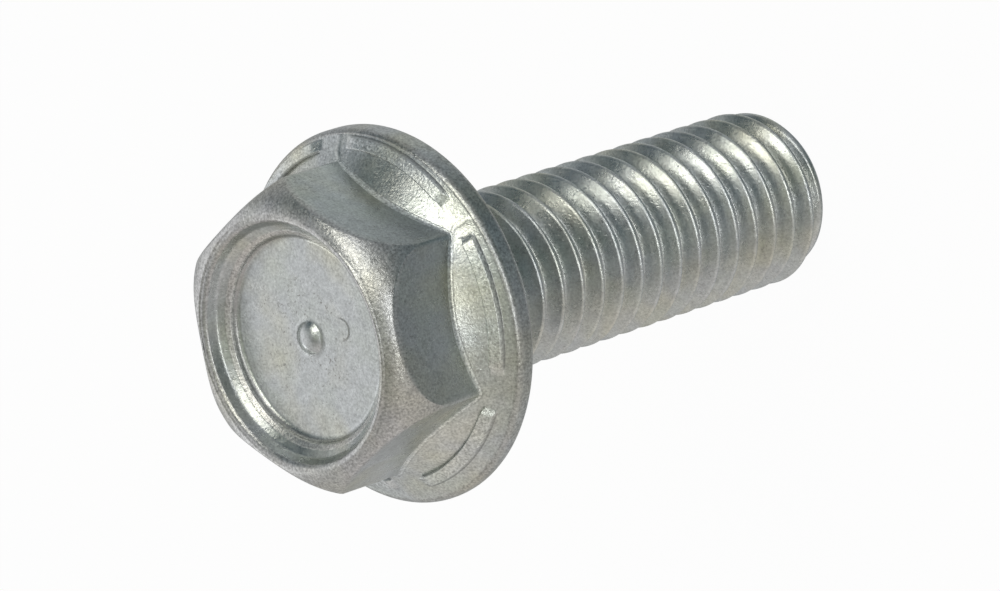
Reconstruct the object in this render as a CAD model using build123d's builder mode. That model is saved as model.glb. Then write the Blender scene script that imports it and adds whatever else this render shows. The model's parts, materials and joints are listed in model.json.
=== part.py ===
from build123d import *
import math
import os

# Hexagon flange bolt, cold-formed in one piece: a recessed hexagon head on a
# sloping flange, and a shank threaded along nearly its whole length.
# The origin is the centre of the bearing face, the flat underside of the flange.
# +Z points from the threaded end to the head. All sizes are in millimetres.

# Thread: 1/2-13 UNC, right-hand, with the standard's shares of the sharp V cut off
major_diameter = 12.7
thread_pitch = 1.954
thread_angle = 60
crest_cut = 1 / 8
root_cut = 1 / 6

# Shank: a short plain neck under the head, a run-out cone, and a rounded point
shank_length = 37.1
neck_length = 2.6
run_out_length = 1.4
under_head_fillet = 0.5
point_length = 2.2
point_diameter = 11.2
point_bulge_height = 0.25

# Flange: a rounded rim, and a slightly dished top that rises to the hexagon
flange_diameter = 26.4
rim_thickness = 1.8
rim_round = 0.55
flange_height = 4.15
flange_dish_depth = 0.12

# Hexagon head, its corners turned down to an elliptic crown
width_across_flats = 19.05
corner_round = 0.35
head_height = 10.0
crown_top_diameter = 16.4
crown_width = 3.2
crown_depth = 4.6
foot_fillet = 0.45

# Recess in the head, with a step in its wall and a pip at its centre
recess_diameter = 17.0
recess_depth = 1.95
step_diameter = 15.5
step_width = 0.2
step_depth = 1.25
floor_diameter = 13.8
recess_edge_round = 0.25
step_round = 0.15
floor_round = 2.0
pip_diameter = 2.6
pip_height = 0.5

# Raised arc bars on the flange, one in front of each flat
bar_span = 46
bar_inset = 1.22
bar_width = 0.8
bar_height = 0.14

# How far a feature reaches into the body that it joins, or past what it cuts
overlap = 0.25

# Worked out from the sizes above
sides = 6
quarter_turn = 90
flank_slope = math.tan(math.radians(thread_angle / 2))
sharp_height = thread_pitch / 2 / flank_slope
major_radius = major_diameter / 2
minor_radius = major_radius - sharp_height * (1 - crest_cut - root_cut)
neck_radius = major_radius - sharp_height * (1 / 2 - crest_cut)
flange_radius = flange_diameter / 2
flat_radius = width_across_flats / 2
crown_top_radius = crown_top_diameter / 2
crown_radius = crown_top_radius + crown_width
crown_base = head_height - crown_depth
recess_floor = head_height - recess_depth
step_height = head_height - step_depth

# One turn of the thread's ridge: its axial section, swept along one turn of a helix
crest_half = crest_cut * thread_pitch / 2
foot_radius = minor_radius - overlap
foot_half = crest_half + (major_radius - foot_radius) * flank_slope

with BuildPart() as turn:
    with BuildLine() as coil:
        Helix(thread_pitch, thread_pitch, minor_radius)
    with BuildSketch(Plane.XZ) as ridge:
        with BuildLine():
            Polyline(
                (foot_radius, -foot_half),
                (major_radius, -crest_half),
                (major_radius, crest_half),
                (foot_radius, foot_half),
                close=True,
            )
        make_face()
    sweep(sections=ridge.sketch, path=coil.line, is_frenet=True)

# The threaded length: the core, with the ridge wound on it turn by turn
turns = math.ceil(shank_length / thread_pitch) + 1

with BuildPart() as thread:
    Cylinder(
        minor_radius,
        (turns + 1) * thread_pitch,
        align=(Align.CENTER, Align.CENTER, Align.MAX),
    )
    with Locations(*[(0, 0, -i * thread_pitch) for i in range(1, turns + 1)]):
        add(turn.part)
    # Its ends are turned down, to the rounded point and to the run-out cone
    with BuildSketch(Plane.XZ):
        with BuildLine():
            Polyline(
                (point_diameter / 2, -shank_length),
                (0, -shank_length),
                (0, overlap - neck_length),
                (minor_radius, overlap - neck_length),
                (major_radius + overlap, -neck_length - run_out_length),
                (major_radius + overlap, overlap + point_length - shank_length),
            )
            SagittaArc(
                (major_radius + overlap, overlap + point_length - shank_length),
                (point_diameter / 2, -shank_length),
                point_bulge_height,
            )
        make_face()
    revolve(axis=Axis.Z, mode=Mode.INTERSECT)

# Half section of the flange, from the axis to its rounded rim
with BuildSketch() as flange_half:
    with BuildLine():
        Polyline(
            (flat_radius - overlap, flange_height),
            (0, flange_height),
            (0, 0),
            (flange_radius, 0),
            (flange_radius, rim_thickness),
        )
        SagittaArc(
            (flange_radius, rim_thickness),
            (flat_radius - overlap, flange_height),
            flange_dish_depth,
        )
    make_face()
    fillet(flange_half.vertices().group_by(Axis.X)[-1], rim_round)

# One raised bar: a narrow band of the flange's top, lifted, over a short arc
with BuildPart() as bar:
    with BuildSketch(Plane.XZ):
        add(flange_half.sketch)
        offset(amount=bar_height)
        with Locations((flange_radius - bar_inset, rim_thickness - overlap)):
            Rectangle(
                bar_width,
                flange_height,
                align=(Align.CENTER, Align.MIN),
                mode=Mode.INTERSECT,
            )
    revolve(axis=Axis.Z, revolution_arc=bar_span)

with BuildPart() as flange_bolt:
    # Hexagon with softened corners, cut back by the crown
    with BuildSketch() as hexagon:
        RegularPolygon(flat_radius, sides, major_radius=False, rotation=180 / sides)
        fillet(hexagon.vertices(), corner_round)
    extrude(amount=head_height)
    with BuildSketch(Plane.XZ):
        with BuildLine():
            Polyline(
                (crown_top_radius, head_height),
                (0, head_height),
                (0, 0),
                (crown_radius, 0),
                (crown_radius, crown_base),
            )
            EllipticalCenterArc(
                (crown_top_radius, crown_base),
                crown_width,
                crown_depth,
                arc_size=quarter_turn,
            )
        make_face()
    revolve(axis=Axis.Z, mode=Mode.INTERSECT)

    # Flange, with a fillet where the flats run down into it
    with BuildSketch(Plane.XZ):
        add(flange_half.sketch)
    revolve(axis=Axis.Z)
    foot = flange_bolt.edges().filter_by(GeomType.BSPLINE)
    fillet(foot.filter_by_position(Axis.Z, 0, flange_height), foot_fillet)

    # Recess, with its stepped wall
    with BuildSketch(Plane.XZ):
        with BuildLine():
            FilletPolyline(
                (0, recess_floor),
                (floor_diameter / 2, recess_floor),
                (step_diameter / 2 - step_width, step_height),
                (step_diameter / 2, step_height),
                (recess_diameter / 2, head_height),
                radius=[floor_round, step_round, step_round],
            )
            Polyline(
                (recess_diameter / 2, head_height),
                (recess_diameter / 2, head_height + overlap),
                (0, head_height + overlap),
                (0, recess_floor),
            )
        make_face()
    revolve(axis=Axis.Z, mode=Mode.SUBTRACT)
    fillet(flange_bolt.edges().group_by(Axis.Z)[-1], recess_edge_round)

    # Pip, a low dome on the recess's floor
    with BuildSketch(Plane.XZ):
        with BuildLine():
            TangentArc(
                (0, recess_floor + pip_height),
                (pip_diameter / 2, recess_floor),
                tangent=(1, 0),
            )
            Polyline(
                (pip_diameter / 2, recess_floor),
                (pip_diameter / 2, recess_floor - overlap),
                (0, recess_floor - overlap),
                (0, recess_floor + pip_height),
            )
        make_face()
    revolve(axis=Axis.Z)

    # Bars, centred on the flats
    with PolarLocations(0, sides, start_angle=-bar_span / 2):
        add(bar.part)

    # Neck, with a fillet under the head, and the thread below it
    with BuildSketch(Plane.XZ):
        with BuildLine():
            Polyline(
                (neck_radius, -under_head_fillet),
                (neck_radius, -neck_length),
                (foot_radius, -neck_length - overlap),
                (0, -neck_length - overlap),
                (0, overlap),
                (neck_radius + under_head_fillet, overlap),
                (neck_radius + under_head_fillet, 0),
            )
            RadiusArc(
                (neck_radius + under_head_fillet, 0),
                (neck_radius, -under_head_fillet),
                under_head_fillet,
            )
        make_face()
    revolve(axis=Axis.Z)
    add(thread.part)

flange_bolt.part.label = "flange_bolt"
os.makedirs("parts", exist_ok=True)
export_step(flange_bolt.part, "parts/flange_bolt.step")
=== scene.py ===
import json
import math

import bmesh
import bpy
from mathutils import Matrix, Vector


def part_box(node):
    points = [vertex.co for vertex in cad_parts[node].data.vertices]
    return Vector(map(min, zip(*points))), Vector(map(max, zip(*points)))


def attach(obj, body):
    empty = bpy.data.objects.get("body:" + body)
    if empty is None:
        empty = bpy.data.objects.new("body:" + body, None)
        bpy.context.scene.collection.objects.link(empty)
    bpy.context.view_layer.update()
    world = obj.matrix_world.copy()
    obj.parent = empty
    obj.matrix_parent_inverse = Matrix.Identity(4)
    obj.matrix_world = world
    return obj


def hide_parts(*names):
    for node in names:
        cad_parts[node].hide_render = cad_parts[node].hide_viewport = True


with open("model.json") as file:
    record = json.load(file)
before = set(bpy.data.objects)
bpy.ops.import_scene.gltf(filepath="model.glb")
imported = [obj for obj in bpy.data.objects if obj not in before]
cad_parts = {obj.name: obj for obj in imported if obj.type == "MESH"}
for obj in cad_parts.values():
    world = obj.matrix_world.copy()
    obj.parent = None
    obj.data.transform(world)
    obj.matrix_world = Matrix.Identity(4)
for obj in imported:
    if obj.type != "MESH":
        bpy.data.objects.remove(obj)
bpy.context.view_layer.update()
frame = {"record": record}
boltLow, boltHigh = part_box("flange_bolt")
threadMount = next(mount for mount in frame["record"]["mounts"] if mount["name"] == "thread")
mm = 0.001
print("frame loaded")


class Sock:
    # one output socket; sums written with it become Math nodes
    def __init__(self, bench, socket):
        self.bench = bench
        self.socket = socket

    def out(self, name):
        # another output of the same node
        return Sock(self.bench, self.socket.node.outputs[name])

    def calc(self, operation, *others):
        return self.bench.maths(operation, self, *others)

    def __add__(self, other):
        return self.calc("ADD", other)

    def __radd__(self, other):
        return self.bench.maths("ADD", other, self)

    def __sub__(self, other):
        return self.calc("SUBTRACT", other)

    def __rsub__(self, other):
        return self.bench.maths("SUBTRACT", other, self)

    def __mul__(self, other):
        return self.calc("MULTIPLY", other)

    def __rmul__(self, other):
        return self.bench.maths("MULTIPLY", other, self)

    def __truediv__(self, other):
        return self.calc("DIVIDE", other)

    def __rtruediv__(self, other):
        return self.bench.maths("DIVIDE", other, self)

    def __pow__(self, other):
        return self.calc("POWER", other)

    def __abs__(self):
        return self.calc("ABSOLUTE")

    def __neg__(self):
        return self.calc("MULTIPLY", -1)

    def atLeast(self, other):
        return self.calc("MAXIMUM", other)

    def atMost(self, other):
        return self.calc("MINIMUM", other)


class Bench:
    # builds one node tree, node by node
    def __init__(self, tree):
        self.tree = tree

    def node(self, kind, settings=None, values=None, out=0):
        # settings come first, because they decide which sockets the node shows
        made = self.tree.nodes.new(kind)
        for name, value in (settings or {}).items():
            setattr(made, name, value)
        for name, value in (values or {}).items():
            if isinstance(value, Sock):
                self.tree.links.new(value.socket, made.inputs[name])
            else:
                made.inputs[name].default_value = value
        return Sock(self, made.outputs[out]) if made.outputs else made

    def maths(self, operation, *values):
        return self.node("ShaderNodeMath", {"operation": operation}, dict(enumerate(values)))

    def vector(self, operation, one, other, out=0):
        return self.node("ShaderNodeVectorMath", {"operation": operation}, {0: one, 1: other}, out)

    def scaled(self, vector, share):
        # a colour or vector made larger or smaller
        return self.node("ShaderNodeVectorMath", {"operation": "SCALE"}, {0: vector, "Scale": share})


def freshBench(holder):
    # an empty node tree on a material or a world
    holder.use_nodes = True
    holder.node_tree.nodes.clear()
    return Bench(holder.node_tree)


# how each part of the surface differs: rough, pink (yellow below zero), worn, and how pale; for the foot,
# the seam and the bars' feet the paleness is painted highlight or painted shade
finishes = {
    "pip": (0.25, -0.3, 0.2, 1.0),
    "floor": (0.2, 0.0, 1.0, 0.98),
    "hollow": (0.3, -0.85, 0.4, 0.96),
    "slope": (0.2, 0.3, 0.3, 0.75),
    "ledge": (0.8, 0.4, 0.3, 1.05),
    "wallLow": (0.2, -0.8, 0.2, 0.95),
    "wall": (0.15, -0.2, 0.2, 0.85),
    "crown": (0.75, 0.3, 0.5, 0.88),
    "flatHigh": (0.35, 0.0, 1.0, 0.84),
    "flatLow": (0.12, 0.0, 0.1, 1.02),
    # the fillet at the flats' foot is paled past 1 as a painted highlight; its grain bump is real
    "foot": (1.0, -0.7, 0.0, 1.2),
    # a thin darker row at the fillet's outer edge, painted shade of a crease
    "seam": (0.3, -0.5, 0.0, 0.85),
    "flange": (0.45, -0.65, 0.25, 1.05),
    "bar": (0.8, -0.5, 0.25, 1.15),
    # rows at the bars' feet darkened to half, painted shade along their edges, with some real flecks
    "barFootShade": (0.4, -0.3, 0.5, 0.5),
    "rim": (0.7, 0.15, 0.3, 0.82),
    "under": (0.3, 0.0, 0.2, 1.0),
    "thread": (0.15, -0.1, 0.4, 1.0),
}

# columns that the head and the shank share, so that they join point to point
columns = {
    "count": 192,
    "sides": 6,
    "bunch": 0.6,      # how much closer they stand at the hexagon's corners
}


def columnAzimuth(column):
    turn = 2 * math.pi * column / columns["count"]
    sides = columns["sides"]
    return turn + columns["bunch"] / sides * math.sin(sides * turn) + math.radians(head["hexTurn"])


# head and flange, in millimetres and degrees
head = {
    "top": 10.0,
    "acrossFlats": 19.05,
    "cornerRound": 0.35,
    # crown, an ellipse
    "crownIn": 8.33,
    "crownWidth": 3.2,
    "crownDepth": 4.6,
    "crownStart": 0.06,     # how far outside the recess's lip it starts
    "crownEdgeRound": 0.45,
    "crownRows": 18,
    # flats, the fillet at their foot, and the seam and creases round it
    "flatRows": 14,
    "footRound": 0.42,
    "cornerFoot": -0.2,     # added to the fillet's radius at the corners
    "cornerSpread": 2.5,
    "seamWidth": 0.1,
    "creaseHeight": 0.05,
    "creaseSpread": 0.6,
    # flange
    "flangeRise": 4.4,
    "flangeInset": 0.25,    # how far inside the flats its arc starts
    "flangeDip": 0.22,
    "rimThickness": 1.8,
    "rimLean": 0.4,
    "rimLeanLevel": 0.87,
    "rimTopRound": 0.6,
    "rimRound": 0.55,
    # recess, from its lip in to the pip
    "recessRadius": 8.5,
    "recessDepth": 1.95,
    "lipWidth": 0.35,
    "lipFall": 0.06,
    "lipDrop": 0.02,
    "lipRound": 0.5,
    "wallFoot": 8.06,
    "wallDepth": 0.87,
    "wallRound": 0.5,
    "ledgeRadius": 7.28,
    "ledgeDepth": 1.41,
    "ledgeRound": 0.14,
    "floorRadius": 7.0,
    "floorRound": 0.6,
    "hollowWidth": 1.4,
    "pipRadius": 1.2,
    "pipHeight": 0.46,
    "pipFullness": 2.5,
    "pipRows": 12,
    # raised bars
    "barIn": 11.58,
    "barOut": 12.38,
    "barHalfSpan": 22,
    "barEnd": 0.6,
    "barHeight": 0.32,
    "barEdge": 0.06,
    "barGap": 0.1,          # least width of plain flange on either side
    "barRows": (0, 0.08, 0.36, 0.64, 0.92, 1),
    "rowsInside": 7,
    "rowsOutside": 5,
    # neck
    "neckRadius": 5.72,
    "neckFillet": 0.5,
    "join": 1.0,
    # the forging dies stood a little off centre
    "hexShift": (0.17, 0.22),
    "hexTurn": -2.2,
    "crownShift": (-0.475, 0.2),
    "recessShift": (-0.17, 0.12),
    "barShift": (-0.1, 0.38),
}


def along(start, end, steps):
    # evenly spaced points from start up to, not with, end
    return [start.lerp(end, k / steps) for k in range(steps)]


def rounded(before, corner, after, radius, steps):
    # points of the arc that rounds a corner, both of its ends among them
    into = (before - corner).normalized()
    away = (after - corner).normalized()
    half = into.angle(away) / 2
    reach = radius / math.tan(half)
    centre = corner + (into + away).normalized() * radius / math.sin(half)
    first = corner + into * reach - centre
    last = corner + away * reach - centre
    turn = first.angle(last)
    points = []
    for k in range(steps + 1):
        share = k / steps
        arm = first * math.sin((1 - share) * turn) + last * math.sin(share * turn)
        points.append(centre + arm / math.sin(turn))
    return points


def lineThrough(corners):
    # a line through corners of (radius, height, round, rows in the round, rows before it)
    places = [Vector(corner[:2]) for corner in corners]
    line = [places[0]]
    for k in range(1, len(corners) - 1):
        radius, roundRows, rowsBefore = corners[k][2:]
        arc = rounded(places[k - 1], places[k], places[k + 1], radius, roundRows)
        line += along(line[-1], arc[0], rowsBefore)[1:]
        line += arc
    return line


def smooth(low, high, value):
    # 0 at low, 1 at high, and a soft rise between
    share = min(1, max(0, (value - low) / (high - low)))
    return share * share * (3 - 2 * share)


def hump(off, spread):
    # 1 where off is 0, fading over about the spread
    return math.exp(-((off / spread) ** 2))


def mixed(one, other, share):
    return tuple(a + (b - a) * share for a, b in zip(one, other))


def toward(azimuth, shift):
    # how far a shift moves things outward at this azimuth
    return math.cos(azimuth) * shift[0] + math.sin(azimuth) * shift[1]


def offFlat(azimuth):
    # angle from the middle of the nearest flat
    half = math.pi / columns["sides"]
    return abs((azimuth + half) % (2 * half) - half)


def flatReach(azimuth):
    # how far from its axis the hexagon's side stands, its corners slightly rounded
    flat, soft = head["acrossFlats"] / 2, head["cornerRound"]
    half = math.pi / columns["sides"]
    off = offFlat(azimuth)
    heart = (flat - soft) / math.cos(half)
    limit = math.atan2(soft * math.sin(half), heart + soft * math.cos(half))
    if half - off > limit:
        return flat / math.cos(off)
    across = heart * math.sin(half - off)
    return heart * math.cos(half - off) + math.sqrt(soft ** 2 - across ** 2)


def rimTop(azimuth):
    # the rim is a little thicker on one side
    return head["rimThickness"] + head["rimLean"] * (math.sin(azimuth) - head["rimLeanLevel"])


def flangeTop(radius, azimuth):
    # height of the flange's dished top, an arc from inside the flats out to the rim
    inner = Vector((head["acrossFlats"] / 2 - head["flangeInset"], head["flangeRise"]))
    outer = Vector((boltHigh.x / mm, rimTop(azimuth)))
    chord = outer - inner
    dish = (chord.length ** 2 / 4 + head["flangeDip"] ** 2) / (2 * head["flangeDip"])
    up = Vector((-chord.y, chord.x)).normalized()
    centre = (inner + outer) / 2 + up * (dish - head["flangeDip"])
    return centre.y - math.sqrt(dish ** 2 - (radius - centre.x) ** 2)


def recessLine():
    # from the pip out to the lip, each point with its finish
    top = head["top"]
    floor = top - head["recessDepth"]
    line = []
    for k in range(head["pipRows"]):
        share = k / head["pipRows"]
        rise = head["pipHeight"] * (1 - share ** head["pipFullness"])
        line.append(Vector((head["pipRadius"] * share, floor + rise)))
    lip = top - head["lipDrop"]
    line += lineThrough([
        (head["pipRadius"], floor, 0, 0, 0),
        (head["floorRadius"], floor, head["floorRound"], 9, 16),
        (head["ledgeRadius"], top - head["ledgeDepth"], head["ledgeRound"], 4, 5),
        (head["wallFoot"], top - head["wallDepth"], head["wallRound"], 4, 8),
        (head["recessRadius"], lip, head["lipRound"], 6, 7),
        (head["recessRadius"] + head["lipWidth"], lip - head["lipFall"], 0, 0, 0),
    ])
    # how far out each finish reaches, in the order from the middle
    reaches = [
        (head["pipRadius"], "pip"),
        (head["floorRadius"] - head["hollowWidth"], "floor"),
        (head["floorRadius"] + 0.02, "hollow"),
        (head["ledgeRadius"] - 0.08, "slope"),
        (head["ledgeRadius"] + 0.35, "ledge"),
        (head["wallFoot"] + 0.06, "wallLow"),
        (head["recessRadius"] - 0.12, "wall"),
        (math.inf, "crown"),
    ]
    names = [next(name for reach, name in reaches if point.x <= reach) for point in line]
    return [(point, finishes[name]) for point, name in zip(line, names)]


def crownLine(wall, crownIn, lip):
    # an ellipse from the recess's lip down to the flat, its lower edge softened
    wide, deep = head["crownWidth"], head["crownDepth"]

    def crown(angle):
        return Vector((crownIn + wide * math.cos(angle), head["top"] - deep + deep * math.sin(angle)))

    # where the ellipse meets the flat, and where it leaves the lip, as angles round it
    cosEnd = min(0.9999, (wall - crownIn) / wide)
    endAngle = math.acos(cosEnd)
    startAngle = math.acos((lip + head["crownStart"] - crownIn) / wide)
    meet = crown(endAngle)
    tangent = Vector((wide * math.sin(endAngle), -deep * cosEnd)).normalized()
    edgeRound = max(0.02, head["crownEdgeRound"] * smooth(0.97, 0.8, cosEnd))
    edge = rounded(meet - tangent, meet, meet - Vector((0, 1)), edgeRound, 4)
    # the ellipse stops where the rounded edge starts
    slope = Vector((wide * math.sin(endAngle), deep * cosEnd)).length
    stopAngle = endAngle + (edge[0] - meet).length / slope
    last = head["crownRows"] - 1
    line = [crown(startAngle + (stopAngle - startAngle) * k / last) for k in range(last + 1)]
    return line + edge[1:]


def flangeRows(azimuth, start, end, offCorner):
    # the flange's top, its bar and a crease out from each corner, from the fillet to the rim
    hexShift, barShift, still = head["hexShift"], head["barShift"], (0, 0)
    plain = finishes["flange"]
    off = math.degrees(offFlat(azimuth))
    share = 1 - smooth(head["barHalfSpan"] - head["barEnd"], head["barHalfSpan"] + head["barEnd"], off)
    bar = mixed(plain, finishes["bar"], share)
    barFootShade = mixed(plain, finishes["barFootShade"], share)
    crease = head["creaseHeight"] * hump(offCorner, head["creaseSpread"])
    raised = head["barHeight"] * share + crease
    barReach = toward(azimuth, barShift)
    barIn = max(head["barIn"] + barReach, start + head["barGap"])
    barOut = min(head["barOut"] + barReach, end - head["barGap"])
    edge = head["barEdge"]
    seam = start + head["seamWidth"]
    # each row: radius, shift, how far it stands up, finish
    rows = [
        # the first row is darkened, painted shade of a crease at the fillet's edge
        (start + head["seamWidth"] / 2, hexShift, crease, finishes["seam"]),
        (seam, hexShift, crease, plain),
    ]
    for k in range(head["rowsInside"]):
        part = (k + 1) / head["rowsInside"]
        rows.append((seam + (barIn - edge - seam) * part, mixed(hexShift, barShift, part), crease, plain))
    # the rows at both edges of the bar are darkened as painted shade
    rows.append((barIn, barShift, crease, barFootShade))
    for part in head["barRows"]:
        rows.append((barIn + edge + (barOut - barIn - 2 * edge) * part, barShift, raised, bar))
    rows.append((barOut, barShift, crease, barFootShade))
    beyond = barOut + edge
    for k in range(head["rowsOutside"]):
        fade = k / head["rowsOutside"]
        radius = beyond + (end - beyond) * fade
        rows.append((radius, mixed(barShift, still, fade), crease * (1 - fade), plain))
    return rows


def rimLine(rimArc):
    # rim, bearing face, and the fillet into the neck
    rim, neck = boltHigh.x / mm, head["neckRadius"]
    under = rounded(Vector((rim, 1)), Vector((rim, 0)), Vector((0, 0)), head["rimRound"], 6)
    fillet = rounded(Vector((rim, 0)), Vector((neck, 0)), Vector((neck, -1)), head["neckFillet"], 5)
    line = rimArc + along(rimArc[-1], under[0], 4)[1:] + under
    line += along(under[-1], fillet[0], 6)[1:] + fillet
    return line + [Vector((neck, -head["join"]))]


def headSection(azimuth, recess):
    # one section, a list of (shift, point, finish); the shift moves the point's own axis
    hexShift, still = head["hexShift"], (0, 0)
    hexAzimuth = azimuth - math.radians(head["hexTurn"])
    hexReach = toward(azimuth, hexShift)
    wall = flatReach(hexAzimuth)
    crownIn = head["crownIn"] + toward(azimuth, head["crownShift"]) - hexReach
    lip = recess[-1][0].x + toward(azimuth, head["recessShift"]) - hexReach
    crown = crownLine(wall, crownIn, lip)
    # the flat, down to the fillet at its foot
    offCorner = 180 / columns["sides"] - math.degrees(offFlat(hexAzimuth))
    foot = Vector((wall, flangeTop(wall + hexReach, azimuth)))
    out = Vector((wall + 0.5, flangeTop(wall + hexReach + 0.5, azimuth)))
    footRound = head["footRound"] + head["cornerFoot"] * hump(offCorner, head["cornerSpread"])
    fillet = rounded(foot + Vector((0, 1)), foot, out, footRound, 7)
    flat = along(crown[-1], fillet[0], head["flatRows"])[1:] + fillet[:1]
    section = [(head["recessShift"], point, finish) for point, finish in recess]
    section += [(hexShift, point, finishes["crown"]) for point in crown]
    for k, point in enumerate(flat):
        low = smooth(0, len(flat) - 1, k)
        section.append((hexShift, point, mixed(finishes["flatHigh"], finishes["flatLow"], low)))
    # the fillet's rows take the paled finish, a painted highlight
    section += [(hexShift, point, finishes["foot"]) for point in fillet[1:]]
    # the flange's top, up to where the rim's round starts
    rim = boltHigh.x / mm
    inside = Vector((rim - 1, flangeTop(rim - 1, azimuth)))
    rimArc = rounded(inside, Vector((rim, rimTop(azimuth))), Vector((rim, 0)), head["rimTopRound"], 7)
    for radius, shift, lift, finish in flangeRows(azimuth, fillet[-1].x + hexReach, rimArc[0].x, offCorner):
        place = Vector((radius - toward(azimuth, shift), flangeTop(radius, azimuth) + lift))
        section.append((shift, place, finish))
    for point in rimLine(rimArc):
        name = "rim" if point.x > head["neckRadius"] + 1 else "under"
        section.append((still, point, finishes[name]))
    return section


def headMesh():
    recess = recessLine()
    sections = [headSection(columnAzimuth(c), recess) for c in range(columns["count"])]
    deep = len(sections[0]) - 1
    # the first point of every section is the pip's middle, one vertex for all
    shift, middle, finish = sections[0][0]
    verts = [(shift[0] * mm, shift[1] * mm, middle.y * mm)]
    shares = [finish]
    for c, section in enumerate(sections):
        azimuth = columnAzimuth(c)
        for shift, point, finish in section[1:]:
            x = shift[0] + point.x * math.cos(azimuth)
            y = shift[1] + point.x * math.sin(azimuth)
            verts.append((x * mm, y * mm, point.y * mm))
            shares.append(finish)
    faces = []
    for c in range(columns["count"]):
        here = 1 + c * deep
        there = 1 + (c + 1) % columns["count"] * deep
        faces.append((0, here, there))
        for k in range(deep - 1):
            faces.append((here + k, here + k + 1, there + k + 1, there + k))
    mesh = bpy.data.meshes.new("head")
    mesh.from_pydata(verts, [], faces)
    painted = mesh.attributes.new("finish", "FLOAT_COLOR", "POINT")
    for item, finish in zip(painted.data, shares):
        item.color = finish
    print("head meshed,", deep + 1, "rows")
    return mesh


# shank, its thread wound by a tree of geometry nodes
shank = {
    "threadsPerInch": 13,
    "flankAngle": 30,
    "crestCut": 1 / 8,      # shares of the sharp V that the standard cuts off
    "rootCut": 1 / 6,
    "crestShare": 0.055,    # how much of the pitch the crest takes up
    "crestSoft": 0.04,
    "rootSoft": 0.1,
    "neckLength": 2.6,
    "neckEndSlope": 3.28,
    "runOutStart": 2.35,
    "runOutSlope": 0.878,
    "pointLength": 2.45,
    "pointRadius": 5.6,
    "pointFlare": 0.25,
    "pointBulge": 0.25,
    "rowsPerTurn": 16,
    "rowBunch": 0.55,       # how much closer the rows stand at crest and root
    "capRows": 6,
}

shankInputs = {
    "Columns": "NodeSocketInt",
    "Rows": "NodeSocketInt",
    "Cap rows": "NodeSocketInt",
    "Rows a turn": "NodeSocketFloat",
    "Pitch": "NodeSocketFloat",
    "Major radius": "NodeSocketFloat",
    "Minor radius": "NodeSocketFloat",
    "Neck radius": "NodeSocketFloat",
    "Top": "NodeSocketFloat",
    "Tip": "NodeSocketFloat",
}


def shankRadius(given, height, azimuth):
    # the thread's ridge, cut by the run-out cone and the point, with the neck above it
    pitch, major, minor = given.out("Pitch"), given.out("Major radius"), given.out("Minor radius")
    phase = height / pitch - azimuth / (2 * math.pi)
    off = abs(phase - (phase + 0.5).calc("FLOOR")) * pitch      # from the nearest crest
    steepness = 1 / math.tan(math.radians(shank["flankAngle"]))
    flank = major + (pitch * (shank["crestShare"] / 2) - off) * steepness
    ridge = flank.calc("SMOOTH_MIN", major, shank["crestSoft"] * mm)
    ridge = ridge.calc("SMOOTH_MAX", minor, shank["rootSoft"] * mm)
    cone = minor + (-height - shank["runOutStart"] * mm) * shank["runOutSlope"]
    rise = ((height - given.out("Tip")) / (shank["pointLength"] * mm)).atMost(1)
    point = (major + (shank["pointFlare"] - shank["pointRadius"]) * mm) * rise + shank["pointRadius"] * mm
    point = point + rise * (1 - rise) * (4 * shank["pointBulge"] * mm)
    past = (-height - shank["neckLength"] * mm).atLeast(0)
    plain = given.out("Neck radius") - past * shank["neckEndSlope"]
    return ridge.atMost(cone).atMost(point).atLeast(plain)


def threadTree(material):
    tree = bpy.data.node_groups.new("rolledThread", "GeometryNodeTree")
    for name, kind in shankInputs.items():
        tree.interface.new_socket(name, in_out="INPUT", socket_type=kind)
    tree.interface.new_socket("Shank", in_out="OUTPUT", socket_type="NodeSocketGeometry")
    bench = Bench(tree)
    given = bench.node("NodeGroupInput")
    rows, cap = given.out("Rows"), given.out("Cap rows")
    across = given.out("Columns") + 1
    size = {"Size X": 1, "Size Y": 1, "Vertices X": rows + cap + 1, "Vertices Y": across}
    grid = bench.node("GeometryNodeMeshGrid", {}, size)
    place = bench.node("ShaderNodeSeparateXYZ", {}, {0: bench.node("GeometryNodeInputPosition")})
    row = (place.out("X") + 0.5) * (rows + cap)
    turn = (place.out("Y") + 0.5) * (2 * math.pi)
    sides = columns["sides"]
    bunch = (turn * sides).calc("SINE") * (columns["bunch"] / sides)
    azimuth = turn + bunch + math.radians(head["hexTurn"])
    # each row follows the helix, and stops at the neck and at the tip
    wound = row.atMost(rows) / given.out("Rows a turn")
    wound = wound - (wound * (4 * math.pi)).calc("SINE") * (shank["rowBunch"] / (4 * math.pi))
    height = given.out("Pitch") * (azimuth / (2 * math.pi) - wound)
    height = height.atMost(given.out("Top")).atLeast(given.out("Tip"))
    # the last rows close the flat end
    radius = shankRadius(given, height, azimuth) * (1 - ((row - rows) / cap).atLeast(0))
    spot = {"X": radius * azimuth.calc("COSINE"), "Y": radius * azimuth.calc("SINE"), "Z": height}
    position = bench.node("ShaderNodeCombineXYZ", {}, spot)
    placed = bench.node("GeometryNodeSetPosition", {}, {"Geometry": grid, "Position": position})
    merged = bench.node("GeometryNodeMergeByDistance", {}, {"Geometry": placed, "Distance": 1e-6})
    marked = bench.node(
        "GeometryNodeStoreNamedAttribute",
        {"data_type": "FLOAT_COLOR", "domain": "POINT"},
        {"Geometry": merged, "Name": "finish", "Value": finishes["thread"]},
    )
    real = bench.node("GeometryNodeRealizeInstances", {}, {"Geometry": marked})
    painted = bench.node("GeometryNodeSetMaterial", {}, {"Geometry": real, "Material": material})
    bench.node("NodeGroupOutput", {}, {0: painted})
    return tree


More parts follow.
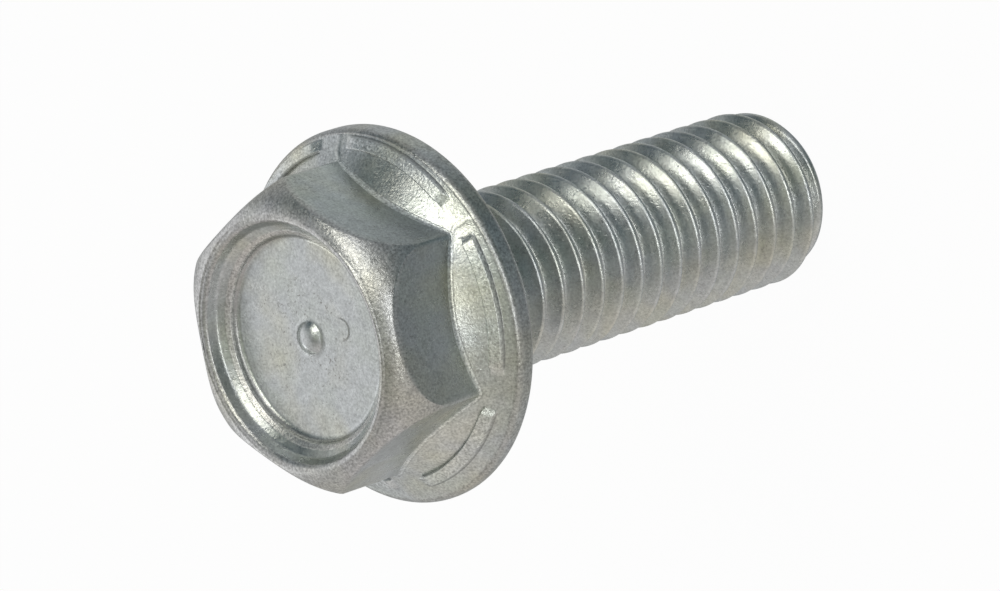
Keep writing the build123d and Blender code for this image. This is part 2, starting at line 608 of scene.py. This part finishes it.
def shankMesh(material):
    pitch = 25.4 / shank["threadsPerInch"]
    major = threadMount["dims"]["r_mm"]
    sharp = pitch / 2 / math.tan(math.radians(shank["flankAngle"]))
    minor = major - sharp * (1 - shank["crestCut"] - shank["rootCut"])
    turns = math.ceil(-boltLow.z / mm / pitch + 1)
    values = {
        "Columns": columns["count"],
        "Rows": turns * shank["rowsPerTurn"],
        "Cap rows": shank["capRows"],
        "Rows a turn": float(shank["rowsPerTurn"]),
        "Pitch": pitch * mm,
        "Major radius": major * mm,
        "Minor radius": minor * mm,
        "Neck radius": head["neckRadius"] * mm,
        "Top": -head["join"] * mm,
        "Tip": boltLow.z,
    }
    holder = bpy.data.objects.new("shank", bpy.data.meshes.new("shank"))
    bpy.context.scene.collection.objects.link(holder)
    modifier = holder.modifiers.new("thread", "NODES")
    modifier.node_group = threadTree(material)
    for item in modifier.node_group.interface.items_tree:
        if item.in_out == "INPUT":
            modifier[item.identifier] = values[item.name]
    ready = holder.evaluated_get(bpy.context.evaluated_depsgraph_get())
    mesh = bpy.data.meshes.new_from_object(ready)
    holder.modifiers.clear()
    bpy.data.objects.remove(holder)
    print("shank wound,", turns, "turns,", len(mesh.vertices), "vertices")
    return mesh


def boltPiece(material):
    # head and shank joined into one closed skin
    work = bmesh.new()
    work.from_mesh(headMesh())
    work.from_mesh(shankMesh(material))
    bmesh.ops.remove_doubles(work, verts=work.verts, dist=1e-6)
    bmesh.ops.dissolve_degenerate(work, edges=work.edges, dist=1e-7)
    bmesh.ops.recalc_face_normals(work, faces=work.faces)
    openEdges = sum(1 for edge in work.edges if len(edge.link_faces) != 2)
    mesh = bpy.data.meshes.new("bolt")
    work.to_mesh(mesh)
    work.free()
    mesh.materials.clear()
    mesh.materials.append(material)
    mesh.polygons.foreach_set("material_index", [0] * len(mesh.polygons))
    mesh.polygons.foreach_set("use_smooth", [True] * len(mesh.polygons))
    piece = bpy.data.objects.new("bolt", mesh)
    bpy.context.scene.collection.objects.link(piece)
    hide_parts("flange_bolt")
    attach(piece, "root")
    triangles = sum(len(face.vertices) - 2 for face in mesh.polygons)
    print("bolt joined,", triangles, "triangles,", openEdges, "open edges")


# zinc plating: colours, then sizes in millimetres and strengths
zinc = {
    "blue": (0.58, 0.612, 0.622, 1),
    "yellow": (0.66, 0.65, 0.50, 1),
    "green": (0.58, 0.63, 0.58, 1),
    "pink": (0.64, 0.60, 0.59, 1),
    "fleck": (0.26, 0.26, 0.25, 1),
    "yellowSize": 5.0,
    "yellowShare": 0.6,
    "greenSize": 3.2,
    "greenShare": 0.4,
    "speckSize": 0.17,
    "speckle": 1.3,
    "speckleLeast": 0.35,   # what a smooth place keeps of it
    "blotchSize": 0.7,
    "blotch": 0.4,
    "fleckSize": 0.24,
    "fleckPatch": 2.4,
    "fleckLeast": 0.12,
    "fleckWorn": 0.75,
    "roughness": 0.27,
    "glossSize": 0.9,
    "glossChange": 0.16,
    "roughGloss": 0.08,
    "grainSize": 0.2,
    "grain": 1.0,
    "grainLeast": 0.4,
    "pitSize": 0.45,
    "pits": 0.8,
    "streakSize": 1.1,
    "streaks": 0.45,
    "streakRadius": (9.7, 10.3),    # they fade in here, on the flange's top
    "streakHeight": (1.2, 1.9),
    "scratchSize": 0.24,
    "scratches": 0.3,
    "relief": 0.022,
    # a crescent scratch on the recess's floor
    "crescent": (3.05, 0.5, 8.05),
    "crescentRadius": 0.8,
    "crescentEdge": (0.02, 0.09),
    "crescentDark": 0.6,
    "crescentDepth": 1.5,
}


def blend(bench, share, one, other):
    # two colours mixed
    settings = {"data_type": "RGBA", "blend_type": "MIX", "clamp_factor": True}
    return bench.node("ShaderNodeMix", settings, {0: share, 6: one, 7: other}, 2)


def clouds(bench, place, size, detail=2.0, roughness=0.5, distortion=0.0):
    # noise with patches about size millimetres wide
    values = {"Vector": place, "Scale": 1 / (size * mm), "Detail": detail}
    values.update({"Roughness": roughness, "Distortion": distortion})
    return bench.node("ShaderNodeTexNoise", {}, values)


def above(value, low, high):
    # 0 below low, 1 above high, and a straight rise between
    return ((value - low) / (high - low)).atLeast(0).atMost(1)


def below(value, low, high):
    # 1 below low, 0 above high
    return above(-value, -high, -low)


def tints(bench, place, warm):
    # blue-grey with broad yellow and green patches, and pinker or yellower by the part
    aside = bench.node("ShaderNodeMapping", {}, {"Vector": place, "Location": (0.05, 0.02, 0.01)})
    yellow = above(clouds(bench, place, zinc["yellowSize"]), 0.45, 0.7) * zinc["yellowShare"]
    green = above(clouds(bench, aside, zinc["greenSize"]), 0.45, 0.65) * zinc["greenShare"]
    colour = blend(bench, yellow, zinc["blue"], zinc["yellow"])
    colour = blend(bench, green, colour, zinc["green"])
    colour = blend(bench, warm, colour, zinc["pink"])
    return blend(bench, -warm, colour, zinc["yellow"])


def flecked(bench, place, colour, rough, worn, pale):
    # fine speckle, stronger where the surface is as forged, and small dark flecks in patches
    speck = clouds(bench, place, zinc["speckSize"], 1.0, 0.6)
    blotch = clouds(bench, place, zinc["blotchSize"], 3.0, 0.6)
    speckle = (speck - 0.5) * (zinc["speckle"] * (rough + zinc["speckleLeast"]))
    speckle = speckle + (blotch - 0.5) * zinc["blotch"] + 1
    colour = bench.scaled(colour, speckle * pale)
    fleck = clouds(bench, place, zinc["fleckSize"], 2.0, 0.65, 0.4)
    patch = above(clouds(bench, place, zinc["fleckPatch"]), 0.38, 0.6)
    flecks = above(fleck, 0.6, 0.68) * patch * (worn * zinc["fleckWorn"] + zinc["fleckLeast"])
    return blend(bench, flecks, colour, zinc["fleck"])


def crescentMark(axes):
    # the +X half of a thin ring, on the recess's floor only
    across, deep, high = (axis - middle for axis, middle in zip(axes, zinc["crescent"]))
    ring = (across * across + deep * deep) ** 0.5
    line = below(abs(ring - zinc["crescentRadius"]), *zinc["crescentEdge"])
    return line * above(across, -0.1, 0.3) * below(abs(high), 0.1, 0.3)


def reliefHeight(bench, place, axes, rough):
    # fine grain, larger forged pits, scratches, and streaks drawn out over the flange
    across, deep, high = axes
    radius = (across * across + deep * deep) ** 0.5
    azimuth = deep.calc("ARCTAN2", across)
    grain = clouds(bench, place, zinc["grainSize"], 2.0, 0.6)
    pits = clouds(bench, place, zinc["pitSize"], 2.0, 0.55)
    spread = {"X": azimuth * 0.05, "Y": radius * (0.25 * mm), "Z": high * (0.25 * mm)}
    fan = bench.node("ShaderNodeCombineXYZ", {}, spread)
    onFlange = above(radius, *zinc["streakRadius"]) * above(high, *zinc["streakHeight"])
    turned = {"Vector": place, "Rotation": (0.3, 0.5, 0.9), "Scale": (0.12, 1, 1)}
    scratch = clouds(bench, bench.node("ShaderNodeMapping", {}, turned), zinc["scratchSize"])
    height = grain * (zinc["grain"] * (rough + zinc["grainLeast"])) + pits * (zinc["pits"] * rough)
    height = height + clouds(bench, fan, zinc["streakSize"]) * onFlange * zinc["streaks"]
    return height - above(scratch, 0.62, 0.7) * zinc["scratches"]


def zincFinish():
    material = bpy.data.materials.new("zincPlate")
    bench = freshBench(material)
    place = bench.node("ShaderNodeTexCoord").out("Object")
    split = bench.node("ShaderNodeSeparateXYZ", {}, {0: place})
    axes = [split.out(name) / mm for name in "XYZ"]     # in millimetres
    given = bench.node("ShaderNodeAttribute", {"attribute_name": "finish"})
    finish = bench.node("ShaderNodeSeparateColor", {}, {0: given})
    rough, warm, worn = finish.out("Red"), finish.out("Green"), finish.out("Blue")
    crescent = crescentMark(axes)
    colour = flecked(bench, place, tints(bench, place, warm), rough, worn, given.out("Alpha"))
    colour = blend(bench, crescent * zinc["crescentDark"], colour, zinc["fleck"])
    patchy = (clouds(bench, place, zinc["glossSize"], 3.0) - 0.5) * zinc["glossChange"]
    gloss = zinc["roughness"] + patchy + rough * zinc["roughGloss"]
    height = reliefHeight(bench, place, axes, rough) - crescent * zinc["crescentDepth"]
    relief = {"Height": height, "Strength": 1.0, "Distance": zinc["relief"] * mm}
    bump = bench.node("ShaderNodeBump", {}, relief)
    values = {"Base Color": colour, "Metallic": 1.0, "Roughness": gloss, "Normal": bump}
    shader = bench.node("ShaderNodeBsdfPrincipled", {}, values)
    bench.node("ShaderNodeOutputMaterial", {}, {"Surface": shader})
    print("zinc mixed")
    return material


# camera: angles in degrees, places in millimetres
view = {
    "azimuth": 8.685,
    "elevation": 42.462,
    "roll": -108.014,
    "distance": 442.4,
    "aim": (4.829, -0.373, -5.155),
    "lens": 233.9,
}


def makeCamera():
    turn = (
        Matrix.Rotation(math.radians(view["azimuth"] + 90), 4, "Z")
        @ Matrix.Rotation(math.radians(90 - view["elevation"]), 4, "X")
        @ Matrix.Rotation(math.radians(view["roll"]), 4, "Z")
    )
    data = bpy.data.cameras.new("camera")
    data.lens = view["lens"]
    data.sensor_width = 36
    data.clip_start = 0.01
    camera = bpy.data.objects.new("camera", data)
    bpy.context.scene.collection.objects.link(camera)
    back = turn.to_3x3() @ Vector((0, 0, 1))
    spot = Vector(view["aim"]) * mm + back * view["distance"] * mm
    camera.matrix_world = Matrix.Translation(spot) @ turn
    bpy.context.scene.camera = camera


room = {
    "floorReach": 3.0,      # metres from the middle
    "floorColour": (0.9, 0.9, 0.9, 1),
    "floorWhite": 0.96,     # how much of the floor is plain white to the camera
    "floorInMetal": 0.03,   # and to the metal, which mirrors the room instead
    "white": (1, 1, 1, 1),
    "walls": (0.46, 0.465, 0.465),
    "leastLight": (0.03, 0.03, 0.03),
}


def makeFloor():
    reach, low = room["floorReach"], boltLow.z
    mesh = bpy.data.meshes.new("floor")
    corners = [(-reach, -reach, low), (reach, -reach, low), (reach, reach, low), (-reach, reach, low)]
    mesh.from_pydata(corners, [], [(0, 1, 2, 3)])
    floor = bpy.data.objects.new("floor", mesh)
    bpy.context.scene.collection.objects.link(floor)
    material = bpy.data.materials.new("paleFloor")
    bench = freshBench(material)
    diffuse = bench.node("ShaderNodeBsdfDiffuse", {}, {"Color": room["floorColour"]})
    white = bench.node("ShaderNodeEmission", {}, {"Color": room["white"], "Strength": 1.0})
    clear = bench.node("ShaderNodeBsdfTransparent")
    rays = bench.node("ShaderNodeLightPath")
    seen = rays.out("Is Camera Ray").atLeast(rays.out("Is Transmission Ray")) * room["floorWhite"]
    pale = bench.node("ShaderNodeMixShader", {}, {0: seen, 1: diffuse, 2: white})
    inMetal = bench.node("ShaderNodeMixShader", {}, {0: room["floorInMetal"], 1: clear, 2: white})
    surface = bench.node("ShaderNodeMixShader", {}, {0: rays.out("Is Glossy Ray"), 1: pale, 2: inMetal})
    bench.node("ShaderNodeOutputMaterial", {}, {"Surface": surface})
    mesh.materials.append(material)


# soft patches of the room's light: azimuth and elevation, tightness, light
patches = {
    "backWall": ((175, 26), 10, (0.62, 0.6, 0.6)),
    "lowCard": ((15, -25), 17, (0.18, 0.2, 0.21)),
    "warmSide": ((-88, 18), 2.8, (0.25, 0.2, 0.17)),
    "darkOverhead": ((-80, 76), 8, (-0.3, -0.29, -0.31)),
    "darkSide": ((120, 36), 11.2, (-0.46, -0.43, -0.41)),
    "darkLow": ((45, -38), 3.5, (-0.38, -0.35, -0.34)),
    "darkUnder": ((-12, -45), 10, (-0.12, -0.12, -0.12)),
    "darkFront": ((12, 5), 12, (-0.33, -0.31, -0.32)),
    "yellowAbove": ((-12, 76), 90, (0.12, 0.13, 0.03)),
    "paleAbove": ((8, 74), 20, (0.16, 0.17, 0.16)),
    "paleLow": ((115, -40), 12, (0.18, 0.2, 0.19)),
}


def pointing(azimuth, elevation):
    # the way towards a place in the room
    azimuth, elevation = math.radians(azimuth), math.radians(elevation)
    level = math.cos(elevation)
    return Vector((level * math.cos(azimuth), level * math.sin(azimuth), math.sin(elevation)))


def makeWorld():
    world = bpy.data.worlds.new("studio")
    bpy.context.scene.world = world
    bench = freshBench(world)
    way = bench.node("ShaderNodeTexCoord").out("Generated")
    light = room["walls"]
    for place, tight, colour in patches.values():
        facing = bench.vector("DOT_PRODUCT", way, pointing(*place), 1)
        patch = bench.scaled(colour, ((facing - 1) * tight).calc("EXPONENT"))
        light = bench.vector("ADD", light, patch)
    light = bench.vector("MAXIMUM", light, room["leastLight"])
    soft = bench.node("ShaderNodeBackground", {}, {"Color": light, "Strength": 1.0})
    white = bench.node("ShaderNodeBackground", {}, {"Color": room["white"], "Strength": 1.0})
    rays = bench.node("ShaderNodeLightPath")
    surface = bench.node("ShaderNodeMixShader", {}, {0: rays.out("Is Camera Ray"), 1: soft, 2: white})
    bench.node("ShaderNodeOutputWorld", {}, {"Surface": surface})


# softboxes: azimuth and elevation, half angles across and up, light
lamps = {
    "key": ((70, 62), (10.5, 12.5), (2.85, 2.76, 2.45)),
    "fill": ((60, 42), (8, 8), (1.8, 1.8, 1.75)),
    "side": ((91, 53), (6.5, 6.5), (2.2, 2.12, 1.85)),
    "strip": ((0, 46), (26, 3.5), (3.8, 3.8, 3.7)),
    "spark": ((-157, 15), (6, 6), (2.0, 2.0, 2.0)),
}
lampDistance = 0.6      # metres


def makeLamps():
    for name, (place, (wide, tall), light) in lamps.items():
        data = bpy.data.lights.new(name, "AREA")
        data.shape = "ELLIPSE"
        data.size = 2 * lampDistance * math.tan(math.radians(wide))
        data.size_y = 2 * lampDistance * math.tan(math.radians(tall))
        # the strongest channel sets the power, spread over the lamp's face
        strength = max(light)
        data.color = [channel / strength for channel in light]
        data.energy = strength * math.pi * math.pi * data.size * data.size_y / 4
        lamp = bpy.data.objects.new(name, data)
        bpy.context.scene.collection.objects.link(lamp)
        way = pointing(*place)
        turn = way.to_track_quat("Z", "Y").to_matrix().to_4x4()
        lamp.matrix_world = Matrix.Translation(way * lampDistance) @ turn
        lamp.visible_camera = False


bpy.context.scene.view_settings.view_transform = "Standard"
makeCamera()
makeFloor()
makeWorld()
makeLamps()
print("studio ready")
boltPiece(zincFinish())
